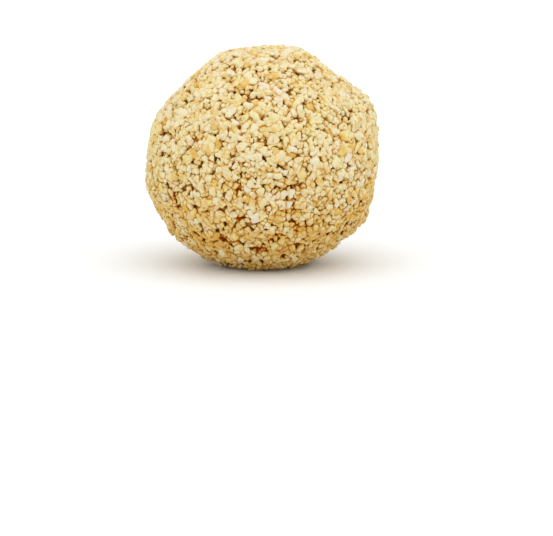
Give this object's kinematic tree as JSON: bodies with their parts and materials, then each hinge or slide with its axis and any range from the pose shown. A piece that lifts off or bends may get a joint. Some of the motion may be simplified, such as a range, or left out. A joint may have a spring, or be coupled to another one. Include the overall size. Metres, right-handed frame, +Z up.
{
  "type": "amaranth ladoo",
  "caption": "Hand-rolled round sweet of popped amaranth grains bound with jaggery, with a small flat spot underneath that it rests on.",
  "frame": {"origin": "middle of the ladoo's width and depth, at the level of the flat spot that it rests on", "axes": "+Z up from the flat spot to the crown; the side shown in the picture looks along -Y; +X is that side's right"},
  "size_m": [0.0522, 0.0508, 0.0487],
  "materials": {
    "popped_grain": "matte cream to pale gold popped grains, slightly translucent, with amber jaggery in the gaps"
  },
  "bodies": {
    "root": {"ladoo": "popped_grain"}
  },
  "joints": []
}
